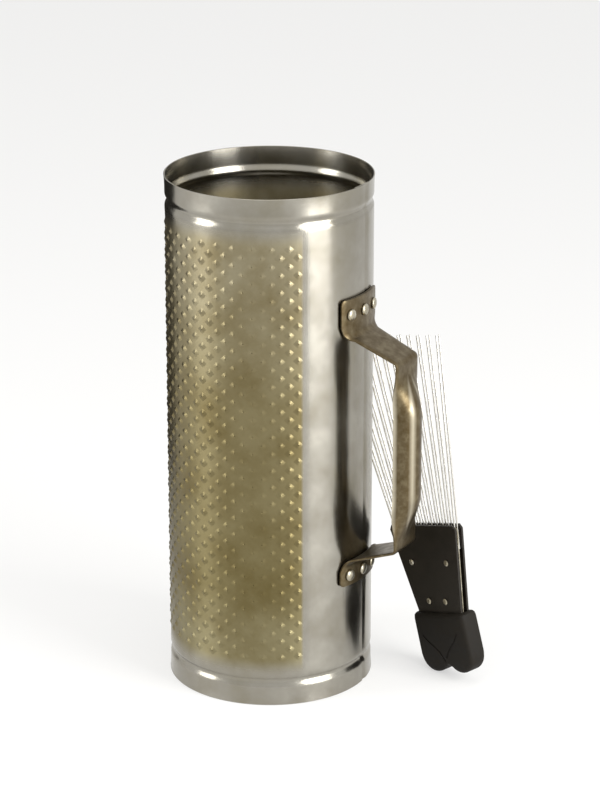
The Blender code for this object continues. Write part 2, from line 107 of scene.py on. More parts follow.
def add_node(tree, kind, inputs=None, stops=(), **settings):
    """Adds one node with its settings and links. Stops are a ramp's places, each with a colour or a grey."""
    node = tree.nodes.new(kind)
    for name, value in settings.items():
        setattr(node, name, value)
    set_inputs(tree, node, inputs or {})
    for _ in stops[2:]:
        node.color_ramp.elements.new(0.5)
    for i, (place, value) in enumerate(stops):
        node.color_ramp.elements[i].position = place
        shade = colour(value) if isinstance(value, str) else (value, value, value, 1)
        node.color_ramp.elements[i].color = shade
    return node


def new_material(name):
    """An empty material, its tree and its shader, and a place in millimetres to build patterns on."""
    made = bpy.data.materials.new(name)
    made.use_nodes = True
    tree = made.node_tree
    place = add_node(tree, "ShaderNodeTexCoord")
    mm = add_node(tree, "ShaderNodeVectorMath", {0: place.outputs["Object"], 1: (1000.0, 1000.0, 1000.0)},
                  operation="MULTIPLY")
    return made, tree, tree.nodes["Principled BSDF"], mm


print("mid steel in linear light:", [round(v, 3) for v in colour("#8c8468")])

# %% [markdown]
# ## Steel of the drum: rolled, polished sheet
# Polished mild steel sheet has a neutral grey mirror softened by rolling marks that run up the wall.
# Where it is punched, the marks scatter the light, so it is rougher, and its tint is painted darker and
# more olive there as shade, darkest low in the field and lighter near its top. Faint clouds of tarnish lie
# over both. A map that runs round and up the wall says where the punched field begins and ends, which a
# pattern in space could not do so simply.

# %% Where the punched field lies
FIELD_ROUND, SOFT_ROUND = (0.117, 0.883), 0.003  # shares of a turn, counted from the handle
FIELD_UP, SOFT_UP = (0.078, 0.925), 0.018  # shares of the height


def punched_field(tree, axes):
    """One inside the punched field and nought on the plain strip and bands."""
    inside = 1.0
    for axis, (start, stop), soft in (("X", FIELD_ROUND, SOFT_ROUND), ("Y", FIELD_UP, SOFT_UP)):
        for edge, way in ((start, 1), (stop, -1)):
            step = add_node(tree, "ShaderNodeMapRange", {
                "Value": axes.outputs[axis], "From Min": edge - way * soft, "From Max": edge + way * soft},
                interpolation_type="SMOOTHSTEP")
            inside = add_node(tree, "ShaderNodeMath", {0: inside, 1: step}, operation="MULTIPLY")
    return inside


print("the field begins", round(FIELD_ROUND[0] * 360), "degrees from the handle")


# %% Polished sheet steel
CLOUD_MM = 34.0
DENT_MM = 16.0
ROLLING_MM = 0.9  # finer on real sheet, and drawn this wide so that it shows
ROLLING_STRETCH = 0.03  # the rolling marks run up the wall, some thirty times as long as they are wide
WORN_ROUGHNESS = 0.19  # added in the punched field


def polished_sheet_steel():
    made, tree, shader, mm = new_material("polished_sheet_steel")
    wall_map = add_node(tree, "ShaderNodeUVMap", uv_map="wall")
    axes = add_node(tree, "ShaderNodeSeparateXYZ", {"Vector": wall_map})
    field = punched_field(tree, axes)
    clouds = add_node(tree, "ShaderNodeTexNoise", {
        "Vector": mm, "Scale": 1 / CLOUD_MM, "Detail": 5.0, "Roughness": 0.6})
    plain_tint = add_node(tree, "ShaderNodeValToRGB", {"Fac": clouds}, stops=[
        (0.30, "#8d887a"), (0.52, "#98948a"), (0.72, "#a5a298")])
    # The punched field's tint is painted darker and more olive than the plain steel, as shade for the light
    # that its marks scatter: darkest low in the field, lighter near its top.
    field_shade_by_height = add_node(tree, "ShaderNodeValToRGB", {"Fac": axes.outputs["Y"]}, stops=[
        (0.08, "#8f8769"), (0.24, "#7f7553"), (0.60, "#857b5b"), (0.93, "#9c947c")])
    patches = add_node(tree, "ShaderNodeValToRGB", {"Fac": clouds}, stops=[
        (0.34, "#dcd6c6"), (0.62, "#ffffff")])
    shaded_field_tint = add_node(tree, "ShaderNodeMixRGB", {
        "Fac": 1.0, "Color1": field_shade_by_height, "Color2": patches}, blend_type="MULTIPLY")
    tint = add_node(tree, "ShaderNodeMixRGB", {"Fac": field, "Color1": plain_tint, "Color2": shaded_field_tint})
    spread = add_node(tree, "ShaderNodeMapRange", {
        "Value": clouds, "From Min": 0.3, "From Max": 0.7, "To Min": 0.20, "To Max": 0.27})
    rough = add_node(tree, "ShaderNodeMath", {
        0: field, 1: WORN_ROUGHNESS, 2: spread}, operation="MULTIPLY_ADD")
    round_axis = add_node(tree, "ShaderNodeTangent", direction_type="UV_MAP", uv_map="wall")
    grain_place = add_node(tree, "ShaderNodeMapping", {"Vector": mm, "Scale": (1.0, 1.0, ROLLING_STRETCH)})
    grain = add_node(tree, "ShaderNodeTexNoise", {
        "Vector": grain_place, "Scale": 1 / ROLLING_MM, "Detail": 1.0})
    dents = add_node(tree, "ShaderNodeTexNoise", {"Vector": mm, "Scale": 1 / DENT_MM, "Detail": 1.0})
    relief = add_node(tree, "ShaderNodeMath", {0: dents, 1: 2.2, 2: grain}, operation="MULTIPLY_ADD")
    bump = add_node(tree, "ShaderNodeBump", {"Height": relief, "Strength": 0.07, "Distance": 0.0004})
    set_inputs(tree, shader, {
        "Base Color": tint, "Metallic": 1.0, "Roughness": rough, "Anisotropic": 0.75,
        "Anisotropic Rotation": 0.25, "Tangent": round_axis, "Normal": bump})
    return made


drum_steel = polished_sheet_steel()
print("made", drum_steel.name)

# %% [markdown]
# ## Steel inside the drum
# Nobody polishes the inside. It keeps the mill's dark scale, dull and brown, so little light comes back out
# of it. It could be the same steel with more dirt, but scale has no rolling marks, so a plain noise in two
# sizes is truer.

# %% Dull steel of the inside, painted dark as shade
INSIDE_PATCH_MM = 12.0
INSIDE_GRAIN_MM = 1.4


def shaded_inside_steel():
    made, tree, shader, mm = new_material("steel_with_mill_scale")
    patches = add_node(tree, "ShaderNodeTexNoise", {"Vector": mm, "Scale": 1 / INSIDE_PATCH_MM, "Detail": 5.0})
    # The inside's tint is painted almost black and brown, as the shade that falls inside the tube.
    tint = add_node(tree, "ShaderNodeValToRGB", {"Fac": patches}, stops=[
        (0.35, "#130f06"), (0.65, "#292113")])
    grain = add_node(tree, "ShaderNodeTexNoise", {"Vector": mm, "Scale": 1 / INSIDE_GRAIN_MM, "Detail": 3.0})
    bump = add_node(tree, "ShaderNodeBump", {"Height": grain, "Strength": 0.3, "Distance": 0.0001})
    set_inputs(tree, shader, {"Base Color": tint, "Metallic": 1.0, "Roughness": 0.46, "Normal": bump})
    return made


inner_steel = shaded_inside_steel()
print("made", inner_steel.name)

# %% [markdown]
# ## Steel of the strap: bare hot-rolled strip
# The handle is a darker strip, bent by hand and left bare, so it is duller and browner than the sheet.
# Palms polish it unevenly. Spots about 6 mm wide and a fine grain of 0.5 mm carry that.
# The rivets, the wires and the solder differ only in tint, gloss and grain, so one function makes all four.

# %% Bare strip steel, the bright steel of rivets and wires, and solder
SPOT_MM = 6.0


def worn_metal(name, dark, middle, light, roughness, grain_mm, depth):
    made, tree, shader, mm = new_material(name)
    spots = add_node(tree, "ShaderNodeTexNoise", {
        "Vector": mm, "Scale": 1 / SPOT_MM, "Detail": 5.0, "Roughness": 0.65})
    tint = add_node(tree, "ShaderNodeValToRGB", {"Fac": spots}, stops=[
        (0.32, dark), (0.50, middle), (0.68, light)])
    uneven = add_node(tree, "ShaderNodeMapRange", {
        "Value": spots, "From Min": 0.3, "From Max": 0.7,
        "To Min": roughness + 0.08, "To Max": roughness - 0.05})
    grain = add_node(tree, "ShaderNodeTexNoise", {"Vector": mm, "Scale": 1 / grain_mm, "Detail": 2.0})
    bump = add_node(tree, "ShaderNodeBump", {"Height": grain, "Strength": 0.25, "Distance": depth})
    set_inputs(tree, shader, {"Base Color": tint, "Metallic": 1.0, "Roughness": uneven, "Normal": bump})
    return made


strap_steel = worn_metal("bare_strip_steel", "#54472f", "#625640", "#756a52", 0.34, 0.5, 0.00005)
rivet_steel = worn_metal("turned_rivet_steel", "#8f8772", "#a8a18e", "#c4bfb0", 0.30, 0.4, 0.00003)
spring_wire = worn_metal("drawn_spring_wire", "#c2beb4", "#d2cfc8", "#e0ded9", 0.26, 0.3, 0.00001)
seam_metal = worn_metal("tin_solder", "#6f6c62", "#86837a", "#9b998f", 0.52, 0.8, 0.00010)
print("made", strap_steel.name, rivet_steel.name, spring_wire.name, seam_metal.name)

# %% [markdown]
# ## The scraper's plastic and rubber
# The holder's two plates are black ABS sheet with a fine moulded grain, about 0.35 mm across, drawn at 0.7
# mm here so that it shows. The boot is soft black rubber: it scatters more light, and dust sits in it as
# faint grey clouds. A cell pattern gives the raised dots of a moulded grain better than a noise would.

# %% Black ABS and black rubber
DUST_MM = 11.0


def black_moulding(name, dark, dusty, roughness, grain_mm, depth, ior, gloss):
    made, tree, shader, mm = new_material(name)
    dust = add_node(tree, "ShaderNodeTexNoise", {
        "Vector": mm, "Scale": 1 / DUST_MM, "Detail": 4.0, "Roughness": 0.7})
    tint = add_node(tree, "ShaderNodeValToRGB", {"Fac": dust}, stops=[(0.40, dark), (0.75, dusty)])
    sheen = add_node(tree, "ShaderNodeMapRange", {
        "Value": dust, "From Min": 0.3, "From Max": 0.7,
        "To Min": roughness - 0.05, "To Max": roughness + 0.10})
    grain = add_node(tree, "ShaderNodeTexVoronoi", {"Vector": mm, "Scale": 1 / grain_mm})
    bump = add_node(tree, "ShaderNodeBump", {"Height": grain, "Strength": 0.3, "Distance": depth})
    set_inputs(tree, shader, {
        "Base Color": tint, "Roughness": sheen, "IOR": ior, "Specular IOR Level": gloss, "Normal": bump})
    return made


black_abs = black_moulding("moulded_black_abs", "#17120a", "#211b12", 0.46, 0.7, 0.00006, 1.53, 0.32)
black_rubber = black_moulding("moulded_black_rubber", "#120e07", "#1b160e", 0.66, 0.9, 0.00008, 1.52, 0.22)
print("made", black_abs.name, black_rubber.name)

# %% [markdown]
# ## Meshes from rings of points
# The wall, the strap, a rivet, a wire and the boot are all rings of points joined one to the next.
# So one helper joins rings, and each piece below only says where its rings lie.

# %% Helpers that join rings of points
SHARP = math.radians(40)


def join_rings(rings):
    """A mesh in the making, with faces between each ring and the next, and its rows of corners."""
    made = bmesh.new()
    rows = [[made.verts.new(point) for point in ring] for ring in rings]
    for near, far in zip(rows, rows[1:]):
        for i in range(len(near)):
            j = (i + 1) % len(near)
            made.faces.new((near[i], near[j], far[j], far[i]))
    return made, rows


def close_mesh(made, name):
    """Turns a closed mesh in the making outside out, and keeps it under a name, smooth but for its edges."""
    bmesh.ops.recalc_face_normals(made, faces=made.faces)
    mesh = bpy.data.meshes.new(name)
    made.to_mesh(mesh)
    made.free()
    mesh.shade_smooth()
    mesh.set_sharp_from_angle(angle=SHARP)
    return mesh


def skin(rings, name):
    """A mesh through rings of points, closed at both ends."""
    made, rows = join_rings(rings)
    made.faces.new(list(reversed(rows[0])))
    made.faces.new(rows[-1])
    return close_mesh(made, name)


def turned(profile, sides):
    """Rings turned about Z from (radius, height) points."""
    angles = [2 * math.pi * i / sides for i in range(sides)]
    return [[Vector((r * math.cos(a), r * math.sin(a), z)) for a in angles] for r, z in profile]


def show(data):
    """An object for a mesh or a lamp, in the scene."""
    made = bpy.data.objects.new(data.name, data)
    bpy.context.scene.collection.objects.link(made)
    return made


def triangles(piece):
    piece.data.calc_loop_triangles()
    return len(piece.data.loop_triangles)


print("helpers ready")

# %% [markdown]
# ## One tree that sets pieces round the drum
# Punched marks and rivets both stand square to a round wall, in columns and rows. They could be copied in a
# loop, but a Geometry Nodes tree keeps the rule in one place, with its sizes as inputs. Each point's number
# gives its column and its row, and these give its angle and its height.

# %% How a tree begins, ends and runs
def new_tree(name, sizes):
    """A tree with an input for each size, given by its name and kind, and those inputs' sockets."""
    tree = bpy.data.node_groups.new(name, "GeometryNodeTree")
    for size, kind in {"Geometry": "Geometry", **sizes}.items():
        tree.interface.new_socket(size, in_out="INPUT", socket_type="NodeSocket" + kind)
    tree.interface.new_socket("Geometry", in_out="OUTPUT", socket_type="NodeSocketGeometry")
    return tree, add_node(tree, "NodeGroupInput").outputs


def line_and_place(tree, length):
    """Splits each point's number into the line that it lies on and its place along that line."""
    index = add_node(tree, "GeometryNodeInputIndex")
    middle = add_node(tree, "ShaderNodeMath", {0: index, 1: 0.5}, operation="ADD")
    lines_gone = add_node(tree, "ShaderNodeMath", {0: middle, 1: length}, operation="DIVIDE")
    line = add_node(tree, "ShaderNodeMath", {0: lines_gone}, operation="FLOOR")
    earlier = add_node(tree, "ShaderNodeMath", {0: line, 1: length}, operation="MULTIPLY")
    return line, add_node(tree, "ShaderNodeMath", {0: index, 1: earlier}, operation="SUBTRACT")


def end_tree(tree, copies, finish):
    """Makes the copies real, gives them their finish and ends the tree."""
    real = add_node(tree, "GeometryNodeRealizeInstances", {"Geometry": copies})
    finished = add_node(tree, "GeometryNodeSetMaterial", {"Geometry": real, "Material": finish})
    add_node(tree, "NodeGroupOutput", {0: finished})
    return tree


def made_plain(piece, name):
    """Replaces an object by the mesh that its modifiers make of it."""
    bpy.context.view_layer.update()
    graph = bpy.context.evaluated_depsgraph_get()
    mesh = bpy.data.meshes.new_from_object(piece.evaluated_get(graph), depsgraph=graph)
    mesh.name = name
    piece.modifiers.clear()
    bpy.data.objects.remove(piece)
    return show(mesh)


def grow(base, tree, values, name):
    """Runs a tree on an object and returns its result as a plain object of its own."""
    modifier = base.modifiers.new(tree.name, "NODES")
    modifier.node_group = tree
    for socket in tree.interface.items_tree:
        if socket.in_out == "INPUT" and socket.name in values:
            modifier[socket.identifier] = values[socket.name]
    return made_plain(base, name)


print("tree helpers ready")


# %% A tree for marks and rivets
def round_the_wall_tree():
    tree, given = new_tree("round_the_wall", {
        "Piece": "Object", "Finish": "Material", "Columns": "Int", "Rows": "Int", "First angle": "Float",
        "Angle step": "Float", "First height": "Float", "Height step": "Float", "Stagger": "Float",
        "Radius": "Float", "Unevenness": "Float", "Seed": "Int"})
    column, row = line_and_place(tree, given["Rows"])
    angle = add_node(tree, "ShaderNodeMath", {
        0: column, 1: given["Angle step"], 2: given["First angle"]}, operation="MULTIPLY_ADD")
    cosine = add_node(tree, "ShaderNodeMath", {0: angle}, operation="COSINE")
    sine = add_node(tree, "ShaderNodeMath", {0: angle}, operation="SINE")
    outwards = add_node(tree, "ShaderNodeCombineXYZ", {"X": cosine, "Y": sine})
    every_second = add_node(tree, "ShaderNodeMath", {0: column, 1: 2.0}, operation="MODULO")
    foot = add_node(tree, "ShaderNodeMath", {
        0: every_second, 1: given["Stagger"], 2: given["First height"]}, operation="MULTIPLY_ADD")
    height = add_node(tree, "ShaderNodeMath", {
        0: row, 1: given["Height step"], 2: foot}, operation="MULTIPLY_ADD")
    level = add_node(tree, "ShaderNodeCombineXYZ", {"Z": height})
    place = add_node(tree, "ShaderNodeVectorMath", {
        0: outwards, 1: given["Radius"], 2: level}, operation="MULTIPLY_ADD")
    count = add_node(tree, "ShaderNodeMath", {0: given["Columns"], 1: given["Rows"]}, operation="MULTIPLY")
    points = add_node(tree, "GeometryNodePoints", {"Count": count, "Position": place})
    turn = add_node(tree, "FunctionNodeAlignRotationToVector", {"Vector": outwards}, axis="Z")
    upright = add_node(tree, "FunctionNodeAlignRotationToVector", {
        "Rotation": turn, "Vector": (0.0, 0.0, 1.0)}, axis="Y", pivot_axis="Z")
    piece = add_node(tree, "GeometryNodeObjectInfo", {"Object": given["Piece"]})
    smallest = add_node(tree, "ShaderNodeMath", {0: 1.0, 1: given["Unevenness"]}, operation="SUBTRACT")
    size = add_node(tree, "FunctionNodeRandomValue", {
        "Min": smallest, "Max": 1.0, "Seed": given["Seed"]}, data_type="FLOAT")
    copies = add_node(tree, "GeometryNodeInstanceOnPoints", {
        "Points": points, "Instance": piece.outputs["Geometry"], "Rotation": upright, "Scale": size})
    joined = add_node(tree, "GeometryNodeJoinGeometry", {0: copies})
    tree.links.new(given["Geometry"], joined.inputs[0])
    return end_tree(tree, joined, given["Finish"])


round_the_wall = round_the_wall_tree()
print("tree with", len(round_the_wall.nodes), "nodes")

# %% [markdown]
# ## The drum's wall
# One sheet is rolled into a tube and its last edge laps over its first, next to the handle. A groove is
# pressed in near each end to stiffen it, and each rim opens out by half a millimetre. The wall is skinned
# from one upright profile carried round the axis, which keeps the grooves and the lap exact.

# %% Sizes of the wall
WALL_RADIUS = 0.06990
FIELD_RADIUS = 0.06962  # the punched field lies a little lower, so that its marks stay in the solids' box
SHEET = 0.0008
RIM_FLARE, RIM_REACH = 0.0005, 0.009
GROOVE_FROM_END = 0.017
GROOVE_HALF_WIDTH = 0.0045
GROOVE_DEPTH = 0.0016
PLAIN_HALF, PLAIN_FADE = math.radians(38), math.radians(5)  # half the plain strip, and the slope beside it
BAND, BAND_FADE = 0.024, 0.006  # the plain band at each rim, and the slope beside it
SEAM_EDGE = math.radians(4.0)
LAP = 0.012 / 0.070  # widths along the sheet over the radius, so angles
JOGGLE = 0.007 / 0.070
LAP_DEPTH = 0.0012
print("lap:", round(LAP * WALL_RADIUS * 1000, 1), "mm wide")


# %% Slopes
def share_of(value, whole):
    """How far a value is along a slope, from nought to one."""
    return min(max(value / whole, 0.0), 1.0)


def eased(value):
    """A share that starts and ends gently."""
    value = share_of(value, 1.0)
    return value * value * (3 - 2 * value)


print("a quarter, eased:", round(eased(0.25), 3))


# %% The wall's profile
def groove(z):
    """How far the wall is pressed in at a height."""
    near = min(abs(z - GROOVE_FROM_END), abs(z - (DRUM_HEIGHT - GROOVE_FROM_END)))
    if near >= GROOVE_HALF_WIDTH:
        return 0.0
    return GROOVE_DEPTH * 0.5 * (1 + math.cos(math.pi * near / GROOVE_HALF_WIDTH))


def flare(z):
    """How far a rim opens out at a height."""
    return RIM_FLARE * max(0.0, 1 - min(z, DRUM_HEIGHT - z) / RIM_REACH) ** 2


def field_dip(angle, z):
    """How far the punched field lies below the plain strip."""
    turn = abs(math.remainder(angle, 2 * math.pi))
    across = share_of(turn - PLAIN_HALF, PLAIN_FADE)
    up = share_of(min(z, DRUM_HEIGHT - z) - BAND, BAND_FADE)
    return (WALL_RADIUS - FIELD_RADIUS) * across * up


def wall_heights():
    """Levels of the profile: close together at a rim and in a groove, far apart between them."""
    rim = [0.0003, 0.0010, 0.0025, 0.0050, 0.0085, 0.0115]
    pressed = [GROOVE_FROM_END + GROOVE_HALF_WIDTH * (i / 5) for i in range(-5, 6)]
    end = rim + pressed + [BAND - 0.0005]
    first = BAND + BAND_FADE
    middle = [first + (DRUM_HEIGHT - 2 * first) * i / 12 for i in range(13)]
    return end + middle + [DRUM_HEIGHT - z for z in reversed(end)]


heights = wall_heights()
print("levels in the wall:", len(heights))


# %% Skin the wall
LAP_STEPS, ROUND_STEPS = 14, 176


def wall_ring(angle):
    """The closed profile of the sheet at an angle: up the outside and down the inside."""
    radius = WALL_RADIUS - LAP_DEPTH * (1 - eased((angle - SEAM_EDGE) / JOGGLE))
    outwards = Vector((math.cos(angle), math.sin(angle), 0.0))
    outside = []
    inside = []
    for z in heights:
        reach = radius + flare(z) - groove(z) - field_dip(angle, z)
        outside.append(outwards * reach + Vector((0, 0, z)))
        inside.append(outwards * (reach - SHEET) + Vector((0, 0, z)))
    lower_lip = outwards * (radius + RIM_FLARE - SHEET / 2)
    upper_lip = lower_lip + Vector((0, 0, DRUM_HEIGHT))
    return [lower_lip] + outside + [upper_lip] + list(reversed(inside))


def close_edge(made, row):
    """Closes the sheet's cut edge, from lip to lip, with faces as wide as the sheet is thick."""
    half = len(heights) + 1
    made.faces.new((row[0], row[1], row[-1]))
    for i in range(1, half - 1):
        made.faces.new((row[i], row[i + 1], row[-i - 1], row[-i]))
    made.faces.new((row[half - 1], row[half], row[half + 1]))


start = SEAM_EDGE - LAP
angles = [start + (LAP + JOGGLE) * i / LAP_STEPS for i in range(LAP_STEPS)]
angles += [SEAM_EDGE + JOGGLE + (2 * math.pi - JOGGLE) * i / ROUND_STEPS for i in range(ROUND_STEPS + 1)]
wall_mesh, wall_rows = join_rings([wall_ring(angle) for angle in angles])
close_edge(wall_mesh, wall_rows[0])
close_edge(wall_mesh, wall_rows[-1])
wall = show(close_mesh(wall_mesh, "drum_wall"))
print("wall:", triangles(wall), "triangles")

# %% [markdown]
# ## The punched marks
# Each mark is made by a square punch from inside: the metal rises into a small pyramid and bursts at the
# top. Marks are 11.7 mm apart up a column, columns 6.1 mm apart, and every second column half a step
# higher. A strip of about 84 degrees behind the handle stays plain, as do the bands next to the rims. One
# pyramid of 34 faces, set out 1,375 times by the tree, gives real relief at little cost.

# %% One mark, then all of them
COLUMNS, FIRST_COLUMN, COLUMN_STEP = 55, math.radians(44.6), math.radians(5.015)
ROWS, FIRST_ROW, ROW_STEP = 25, 0.0350, 0.01172
MARK_HEIGHT = 0.00076
SIDES_PULLED_IN = 0.76  # every second corner, which makes a square of an octagon
mark_profile = [(0.00370, -0.00010), (0.00245, 0.00020), (0.00115, 0.00058), (0.00055, MARK_HEIGHT),
                (0.00018, 0.00030)]
mark_rings = turned(mark_profile, 8)
for ring in mark_rings[:3]:
    for corner in ring[1::2]:
        corner.x *= SIDES_PULLED_IN
        corner.y *= SIDES_PULLED_IN
mark = show(skin(mark_rings, "punched_mark"))
drum = grow(wall, round_the_wall, {
    "Piece": mark, "Finish": drum_steel, "Columns": COLUMNS, "Rows": ROWS, "First angle": FIRST_COLUMN,
    "Angle step": COLUMN_STEP, "First height": FIRST_ROW, "Height step": ROW_STEP, "Stagger": ROW_STEP / 2,
    "Radius": FIELD_RADIUS, "Unevenness": 0.10, "Seed": 7}, "punched_drum")
bpy.data.objects.remove(mark)
print("marks:", COLUMNS * ROWS, "drum:", triangles(drum), "triangles")


# %% Give the drum a map that runs round and up the wall
def share_of_turn(point):
    return math.atan2(-point.y, -point.x) / (2 * math.pi) + 0.5


def map_the_wall(piece):
    """Lays each corner by its share of a turn and of the height, with each face whole at the map's edge."""
    layer = piece.data.uv_layers.new(name="wall")
    for face in piece.data.polygons:
        middle = share_of_turn(face.center)
        for index in face.loop_indices:
            point = piece.data.vertices[piece.data.loops[index].vertex_index].co
            around = share_of_turn(point)
            around += round(middle - around)
            layer.data[index].uv = (around, point.z / DRUM_HEIGHT)


def finish_the_inside(piece):
    """Gives the faces that look at the axis the dull steel, painted dark as shade."""
    piece.data.materials.append(inner_steel)
    for face in piece.data.polygons:
        outwards = Vector((face.center.x, face.center.y, 0)).normalized()
        if face.normal.dot(outwards) < -0.3:
            face.material_index = 1


map_the_wall(drum)
finish_the_inside(drum)
drum.data.transform(Matrix.Translation(AXIS))
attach(drum, "drum")
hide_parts("drum_sheet")
print("drum box top", round(max(v.co.z for v in drum.data.vertices), 4))

# %% [markdown]
# ## The strap handle
# A strip 2 mm thick is bent four times: a foot on the drum, an arm, the grip, an arm and a foot. The grip's
# long edges are rolled inwards so that nothing cuts the palm. The strip follows one path in the handle's
# plane while its cross-section changes from curved foot to flat arm to rolled grip, so it is skinned from
# stations along that path.

# %% Sizes of the strap
STRAP = 0.0020
FOOT_REACH = 0.0704 + STRAP / 2
FOOT_HALF = 0.0240
FOOT_TURN = FOOT_HALF / FOOT_REACH
ARM_HALF = 0.0152
GRIP_HALF = 0.0198
GRIP_TURN = math.radians(98.0)
GRIP_BULGE = 0.0092
ROLL = 0.034
CORNER_X = 0.1046
UPPER_FOOT, UPPER_ROOT, UPPER_CORNER = 0.2825, 0.2560, 0.2416
LOWER_CORNER, LOWER_ROOT, LOWER_FOOT = 0.1085, 0.0965, 0.0790
ROOT_BEND, GRIP_BEND = 0.0050, 0.0036  # radii of the bends
BEND_LENGTH = 0.0043  # what a grip bend takes of the grip
FLAT, ARM_CURL, GRIP_CURL = 0.002, 0.06, 0.04  # half turns of the section where the strip is nearly flat
FOOT_NARROWED, ARM_WIDENED = 0.93, 1.12  # widths at a root's bend, as shares
FOOT_CORNERS = ((0.0003, 0.90), (0.0010, 0.955), (0.0018, 0.985), (0.0030, 1.0))  # depth, share of the width
UPPER_FLAT, LOWER_FLAT = 0.0075, 0.0065  # from a foot's last full width to its root
BEND_STEPS, GRIP_STEPS = 9, 40
print("grip length:", round((UPPER_CORNER - LOWER_CORNER) * 1000, 1), "mm")


# %% Stations along the strap
def corner_arc(before, corner, after, radius, steps):
    """Points and directions along an arc that rounds a corner."""
    first = (before - corner).normalized()
    second = (after - corner).normalized()
    half = first.angle(second) / 2
    centre = corner + (first + second).normalized() * (radius / math.sin(half))
    cut = radius / math.tan(half)
    begin = (corner + first * cut - centre).normalized()
    finish = (corner + second * cut - centre).normalized()
    arc = []
    for i in range(steps + 1):
        point = centre + begin.slerp(finish, i / steps) * radius
        arc.append((point, (-first).slerp(second, i / steps).normalized()))
    return arc


def strap_stations():
    """(centre, direction, half width, half turn) of each cross-section."""
    down = Vector((0, 0, -1))
    path = [Vector((x, 0, z)) for x, z in (
        (FOOT_REACH, UPPER_FOOT), (FOOT_REACH, UPPER_ROOT), (CORNER_X, UPPER_CORNER),
        (CORNER_X, LOWER_CORNER), (FOOT_REACH, LOWER_ROOT), (FOOT_REACH, LOWER_FOOT))]
    found = []

    def foot(z, share):
        found.append((Vector((FOOT_REACH, 0, z)), down, FOOT_HALF * share, FOOT_TURN * share))

    def bend(index, radius, widths, turns):
        arc = corner_arc(*path[index - 1:index + 2], radius, BEND_STEPS)
        for i, (point, way) in enumerate(arc):
            share = i / BEND_STEPS
            found.append((point, way, widths[0] + (widths[1] - widths[0]) * share,
                          turns[0] + (turns[1] - turns[0]) * share))

    def grip(top, bottom):
        for i in range(GRIP_STEPS + 1):
            z = top + (bottom - top) * i / GRIP_STEPS
            rolled = eased(min(top - z, z - bottom) / ROLL)
            half_width = ARM_HALF + (GRIP_HALF - ARM_HALF) * rolled
            half_turn = GRIP_CURL + (GRIP_TURN - GRIP_CURL) * rolled
            found.append((Vector((CORNER_X + GRIP_BULGE * rolled, 0, z)), down, half_width, half_turn))

    root_widths = (FOOT_HALF * FOOT_NARROWED, ARM_HALF * ARM_WIDENED)
    root_turns = (FOOT_TURN * FOOT_NARROWED, ARM_CURL)
    for depth, share in FOOT_CORNERS:
        foot(UPPER_FOOT - depth, share)
    foot(UPPER_ROOT + UPPER_FLAT, 1.0)
    bend(1, ROOT_BEND, root_widths, root_turns)
    bend(2, GRIP_BEND, (ARM_HALF, ARM_HALF), (FLAT, GRIP_CURL))
    grip(UPPER_CORNER - BEND_LENGTH, LOWER_CORNER + BEND_LENGTH)
    bend(3, GRIP_BEND, (ARM_HALF, ARM_HALF), (GRIP_CURL, FLAT))
    bend(4, ROOT_BEND, root_widths[::-1], root_turns[::-1])
    foot(LOWER_ROOT - LOWER_FLAT, 1.0)
    for depth, share in reversed(FOOT_CORNERS):
        foot(LOWER_FOOT + depth, share)
    return found


stations = strap_stations()
print("stations:", len(stations))


# %% Skin the strap
STRIPS_ACROSS = 22
EDGE_TRIM = 0.0004
EDGE_THINNED = 0.55  # the strip's two long edges are rounded to about half its thickness


def strap_ring(centre, way, half_width, half_turn):
    """The strip's cross-section at a station: over its outer face and back under its inner one."""
    outwards = Vector((-way.z, 0, way.x))
    radius = half_width / half_turn
    outside = []
    inside = []
    for i in range(STRIPS_ACROSS + 1):
        turn = half_turn * (2 * i / STRIPS_ACROSS - 1) * (1 - EDGE_TRIM / half_width)
        middle = centre + Vector((0, radius * math.sin(turn), 0)) - outwards * radius * (1 - math.cos(turn))
        thickness = STRAP / 2 * (EDGE_THINNED if i in (0, STRIPS_ACROSS) else 1.0)
        normal = outwards * math.cos(turn) + Vector((0, math.sin(turn), 0))
        outside.append(middle + normal * thickness)
        inside.append(middle - normal * thickness)
    return outside + list(reversed(inside))


strap = show(skin([strap_ring(*station) for station in stations], "strap_handle"))
strap.data.transform(Matrix.Translation(AXIS))
print("strap:", triangles(strap), "triangles")

# %% [markdown]
# ## Painted highlights on the grip
# The grip's rolled edges, and a line on each side of its crown, are painted brighter than the rest of the
# strap, as highlights of the lamps on its round section. The lines could be painted on a map, but they
# follow the grip's round section, so the angle round the middle of that section finds them, and two slopes
# in height keep them on the grip.

# %% Paint highlights on the grip
GRIP_MIDDLE = AXIS.x + CORNER_X + GRIP_BULGE - GRIP_HALF / GRIP_TURN
GRIP_ENDS, GRIP_FADE = 0.0075, 0.014


